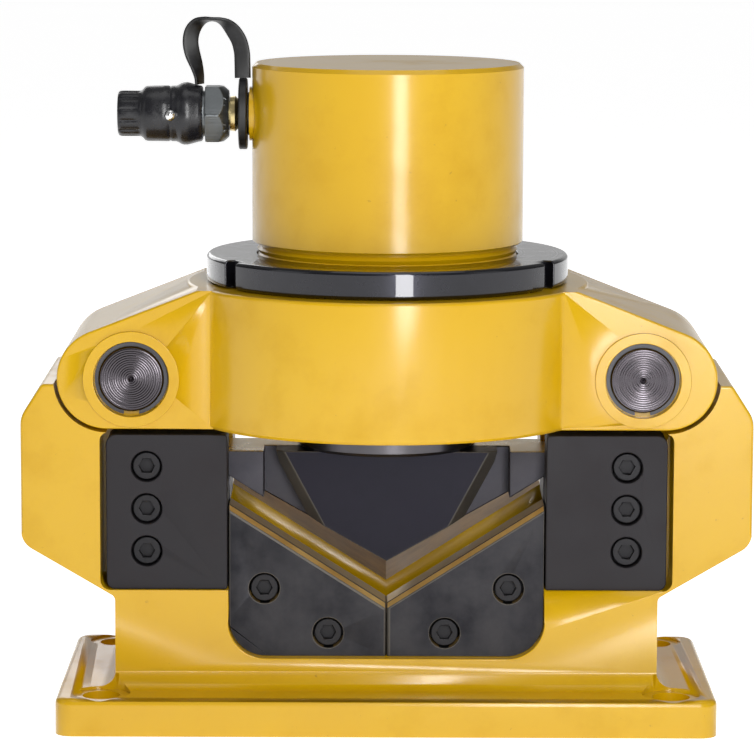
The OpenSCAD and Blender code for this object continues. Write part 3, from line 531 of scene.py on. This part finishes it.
def bed_faces(normal, centre):
    """The sloping sides of the V behind the blades, and the upright back of the blades' seat, are number 1:
    the bed's brown, which also paints the shade there. The frame's upright face farther back isn't."""
    x, y, z = np.abs(centre[:, 0]), centre[:, 1], centre[:, 2]
    throat = (x < throat_half) & (z > throat_low + 5)
    slope = throat & (y > shear_y) & (normal[:, 2] > 0.3) & (normal[:, 2] < 0.98)
    # the upright seat gets the bed's brown only as painted shade
    seat = (x < throat_half) & (y > -FRAME_FACE + 5) & (y < shear_y + 0.5) & (normal[:, 1] < -0.9)
    return slope | seat


def flank_faces(normal, _):
    """The bevels beside the face are number 1."""
    return (normal[:, 1] < -0.5) & (normal[:, 1] > -0.9)


def seam_widths(middle_of, way):
    """The edges at the seam between the two halves are eased more than the others."""
    seam = (np.abs(middle_of[:, 0]) < 0.5) & (np.abs(way[:, 2]) > 0.9) & (middle_of[:, 1] < shear_y - 5)
    return np.where(seam, 2.2, 0.6)


def top_faces(normal, centre):
    """The ground top that the ram head rests on is number 1."""
    return (normal[:, 2] > 0.95) & (centre[:, 2] > holder_top - 1)


ground = dark_steel("ground_steel", srgb(214, 208, 190), srgb(240, 236, 222), 0.2, 0.9, 0.3)
honed = dark_steel("honed_edge_steel", srgb(70, 68, 66), srgb(104, 98, 88), 0.42, 0.6, 0.5)
# golden steel for the lower blades' V: a straw oil tint, and a painted reflection of the yellow yoke above
straw_tint_and_painted_reflection = dark_steel("bar_worn_steel_painted_reflection", srgb(150, 120, 66), srgb(196, 168, 110), 0.30, 0.6, 0.6, (1, 0.15, 1))
# the bed's brown is wear, and also painted shade in the V under the yoke
bed = worn_bed_and_painted_shade("bar_bed_painted_shade")

eased_copy("frame", "frame_casting", casting_widths, [enamel, bed], bed_faces)
eased_copy("yoke", "yoke_casting", yoke_widths)
for side in ("left", "right"):
    eased_copy(f"guide_block_{side}", f"guide_plate_{side}", 0.8)
    eased_copy(f"lower_blade_{side}", f"lower_knife_{side}", seam_widths,
               [finishes["lower_blade_steel"], straw_tint_and_painted_reflection, honed], knife_faces, edge_slot=2)
eased_copy("upper_blade", "upper_knife", 0.6, [finishes["upper_blade_steel"], honed], flank_faces,
           edge_slot=1)
eased_copy("blade_holder", "holder_slide", 0.8, [finishes["holder_steel"], ground], top_faces)
eased_copy("lock_ring", "spanner_ring", 0.8)
eased_copy("coupler_body", "coupler_hexagon", 0.4)
eased_copy("strap_ring", "strap_ring_moulding", 1.0)
for group in ("lower_blade_screws", "guide_block_screws", "upper_blade_screws", "holder_screws"):
    eased_copy(group, group.replace("screws", "bolts"), 0.7)


# ---------------------------------------------------------------- surfaces worked out here

def grid_mesh(name, points, round_u, round_v):
    """Faces between neighbours of a grid of points (rows, columns, 3); round_u and round_v close it
    along the rows and columns. An open end of a closed tube gets one face of its own."""
    rows, columns = points.shape[:2]
    i, j = np.meshgrid(np.arange(rows if round_u else rows - 1),
                       np.arange(columns if round_v else columns - 1), indexing="ij")
    k, m = (i + 1) % rows, (j + 1) % columns
    corners = [i * columns + j, i * columns + m, k * columns + m, k * columns + j]
    faces = np.stack(corners, axis=-1).reshape(-1, 4).tolist()
    if round_v and not round_u:
        faces.append(list(range(columns))[::-1])
        faces.append(list(range((rows - 1) * columns, rows * columns)))
    mesh = bpy.data.meshes.new(name)
    mesh.from_pydata(points.reshape(-1, 3).tolist(), [], faces)
    tidy = bmesh.new()
    tidy.from_mesh(mesh)
    bmesh.ops.remove_doubles(tidy, verts=tidy.verts, dist=1e-7)
    bmesh.ops.recalc_face_normals(tidy, faces=tidy.faces)
    tidy.to_mesh(mesh)
    tidy.free()
    mesh.shade_smooth()
    mesh.set_sharp_from_angle(angle=math.radians(SHARP_FROM))
    return mesh


def smooth_course(points, steps):
    """A Catmull-Rom curve through rows of numbers, with that many steps between neighbours."""
    points = np.asarray(points, float)
    padded = np.concatenate([[2 * points[0] - points[1]], points, [2 * points[-1] - points[-2]]])
    t = np.linspace(0, 1, steps, endpoint=False)[None, :, None]
    a, b, c, d = (padded[k:len(padded) - 3 + k][:, None, :] for k in range(4))
    square, cube = (2 * a - 5 * b + 4 * c - d) * t ** 2, (3 * b - a - 3 * c + d) * t ** 3
    curve = (2 * b + (c - a) * t + square + cube) / 2
    return np.concatenate([curve.reshape(-1, points.shape[1]), points[-1:]])


# the strap's course, chosen one by one: (out from the strap's ring and up from the coupler's skin in mm,
# turn about the course in degrees)
STRAP_COURSE = (
    (0.3, 4.85, 90), (0.4, 9.5, 88), (0.5, 14.5, 85), (0.8, 20, 82), (2.4, 26.5, 78), (5.6, 32, 68),
    (9.4, 36, 45), (13.6, 38.4, 20), (18, 39.2, 8), (22.5, 38.8, 20), (27, 36.4, 48), (30, 32, 68),
    (31, 26, 75), (30, 19.5, 68), (27.5, 12, 45), (26, 5.8, 30), (25.7, 1.1, 25))
STRAP_W, STRAP_T = 9.5, 2.2  # mm


def strap_surface():
    """A flat section with rounded edges, the superellipse |x/a|^4 + |y/b|^4 = 1, carried along the
    smoothed course; at each step it turns about the course by the step's angle."""
    course = smooth_course(STRAP_COURSE, 10)
    path = np.stack([strap_ring_x / MM - course[:, 0], course[:, 1] + (coupler_flat + port_z) / MM], axis=1)
    ahead = np.gradient(path, axis=0)
    ahead /= np.linalg.norm(ahead, axis=1)[:, None]
    turn = np.radians(course[:, 2])
    side = np.stack([ahead[:, 1], np.zeros(len(path)), -ahead[:, 0]], axis=1)
    front = np.array([0.0, 1.0, 0.0])
    wide = side * np.sin(turn)[:, None] - front * np.cos(turn)[:, None]
    thin = side * np.cos(turn)[:, None] + front * np.sin(turn)[:, None]
    about = np.linspace(0, 2 * np.pi, 28, endpoint=False)
    across = np.sign(np.cos(about)) * np.abs(np.cos(about)) ** 0.5 * STRAP_W / 2
    through = np.sign(np.sin(about)) * np.abs(np.sin(about)) ** 0.5 * STRAP_T / 2
    centre = np.stack([path[:, 0], np.zeros(len(path)), path[:, 1]], axis=1)
    section = wide[:, None] * across[None, :, None] + thin[:, None] * through[None, :, None]
    return (centre[:, None] + section) * MM


def add_tube(name, node, points):
    return add_piece(name, grid_mesh(name, points, False, True), node, riding=False)


strap = add_tube("rubber_strap", "cap_strap", strap_surface())
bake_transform(strap)


FLUTES = 12
FLUTE_DEPTH = 0.9  # mm


def cap_surface():
    """The cap's closed outline, turned about the port's axis; near its tip the radius dips in twelve
    flutes, each a bell curve of the angle from the flute's middle."""
    start, length = -cap_high[0] / MM, (cap_high[0] - cap_low[0]) / MM
    outer = (cap_high[2] - cap_low[2]) / 2 / MM
    inner = coupler_flat / MM - 2.4
    spout = coupler_flat / MM - 5.4
    outline = np.array([
        (0, inner), (0, outer - 2.8), (0.8, outer - 2), (2.5, outer - 1.7), (5, outer - 1),
        (7.5, outer - 0.3), (9, outer), (11.2, outer), (12.6, outer - 0.4), (14, outer - 1.2),
        (15.5, outer - 1.9), (17, outer - 2), (18.2, outer - 2), (18.8, outer - 2.4), (19.4, outer - 2.4),
        (20, outer - 2), (24, outer - 2), (28, outer - 2.05), (length - 17.5, outer - 2.1),
        (length - 16, outer - 2.6), (length - 14.6, outer - 4.2), (length - 13.4, outer - 4.9),
        (length - 12, outer - 5), (length - 9, outer - 5), (length - 6, outer - 5),
        (length - 3, outer - 5), (length - 1.6, outer - 5.1), (length - 0.6, outer - 5.6),
        (length - 0.1, outer - 6.5), (length, outer - 8), (length, 3), (length - 0.8, 2),
        (length - 0.8, 0.01), (length - 4.4, 0.01), (length - 4.4, spout), (19, spout), (17.5, inner)])
    turn = np.linspace(0, 2 * np.pi, 144, endpoint=False)
    pitch = 2 * np.pi / FLUTES
    flute = turn % pitch - pitch / 2
    reach = np.minimum(outline[:, 0] - (length - 13), length - 0.5 - outline[:, 0])
    ramped = np.clip(reach / 1.5, 0, 1)
    ramped = ramped * (outline[:, 1] > outer - 6)
    dip = np.exp(-(flute / np.radians(4.5)) ** 2)
    radius = outline[:, 1:] - FLUTE_DEPTH * ramped[:, None] * dip[None]
    along = np.repeat(-(start + outline[:, :1]), len(turn), axis=1)
    return np.stack([along, radius * np.sin(turn), radius * np.cos(turn) + port_z / MM], axis=-1) * MM


def coil_surface(low, high, wire_r, turns, axis):
    """A round wire whose middle rises evenly while it turns: radius times (cos a, sin a), height in
    step with a. The height runs along the axis z or, for the port's springs, along x."""
    low, high = np.array(low) / MM, np.array(high) / MM
    along = 2 if axis == "z" else 0
    mean_r = (high[1] - low[1]) / 2 - wire_r
    steps = int(turns * 48)
    a = np.linspace(0, 2 * np.pi * turns, steps)[:, None]
    b = np.linspace(0, 2 * np.pi, 20, endpoint=False)[None]
    out = mean_r + wire_r * np.cos(b)
    rise = low[along] + wire_r + (high[along] - low[along] - 2 * wire_r) * a / a.max() + wire_r * np.sin(b)
    if along == 2:
        points = np.stack([out * np.cos(a), out * np.sin(a), rise], axis=-1)
    else:
        points = np.stack([rise, out * np.sin(a), out * np.cos(a) + port_z / MM], axis=-1)
    return points * MM


RETURN_WIRE_R, RETURN_TURNS = 3, 8    # mm and turns
VALVE_WIRE_R, VALVE_TURNS = 0.6, 5
spring_low, spring_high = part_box("return_spring")
spring = add_tube("return_coil", "return_spring",
                  coil_surface(spring_low, spring_high, RETURN_WIRE_R, RETURN_TURNS, "z"))
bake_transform(spring)
valve_low, valve_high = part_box("poppet_spring")
valve_spring = add_tube("poppet_coil", "poppet_spring",
                        coil_surface(valve_low, valve_high, VALVE_WIRE_R, VALVE_TURNS, "x"))
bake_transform(valve_spring)

cap = add_piece("rubber_cap", grid_mesh("rubber_cap", cap_surface(), True, True), "dust_cap")
smooth_cap = cap.modifiers.new("rounded", "BEVEL")
smooth_cap.width = 0.25 * MM
smooth_cap.segments = 2
smooth_cap.limit_method = "ANGLE"
smooth_cap.angle_limit = math.radians(SHARP_FROM)
smooth_cap.use_clamp_overlap = True
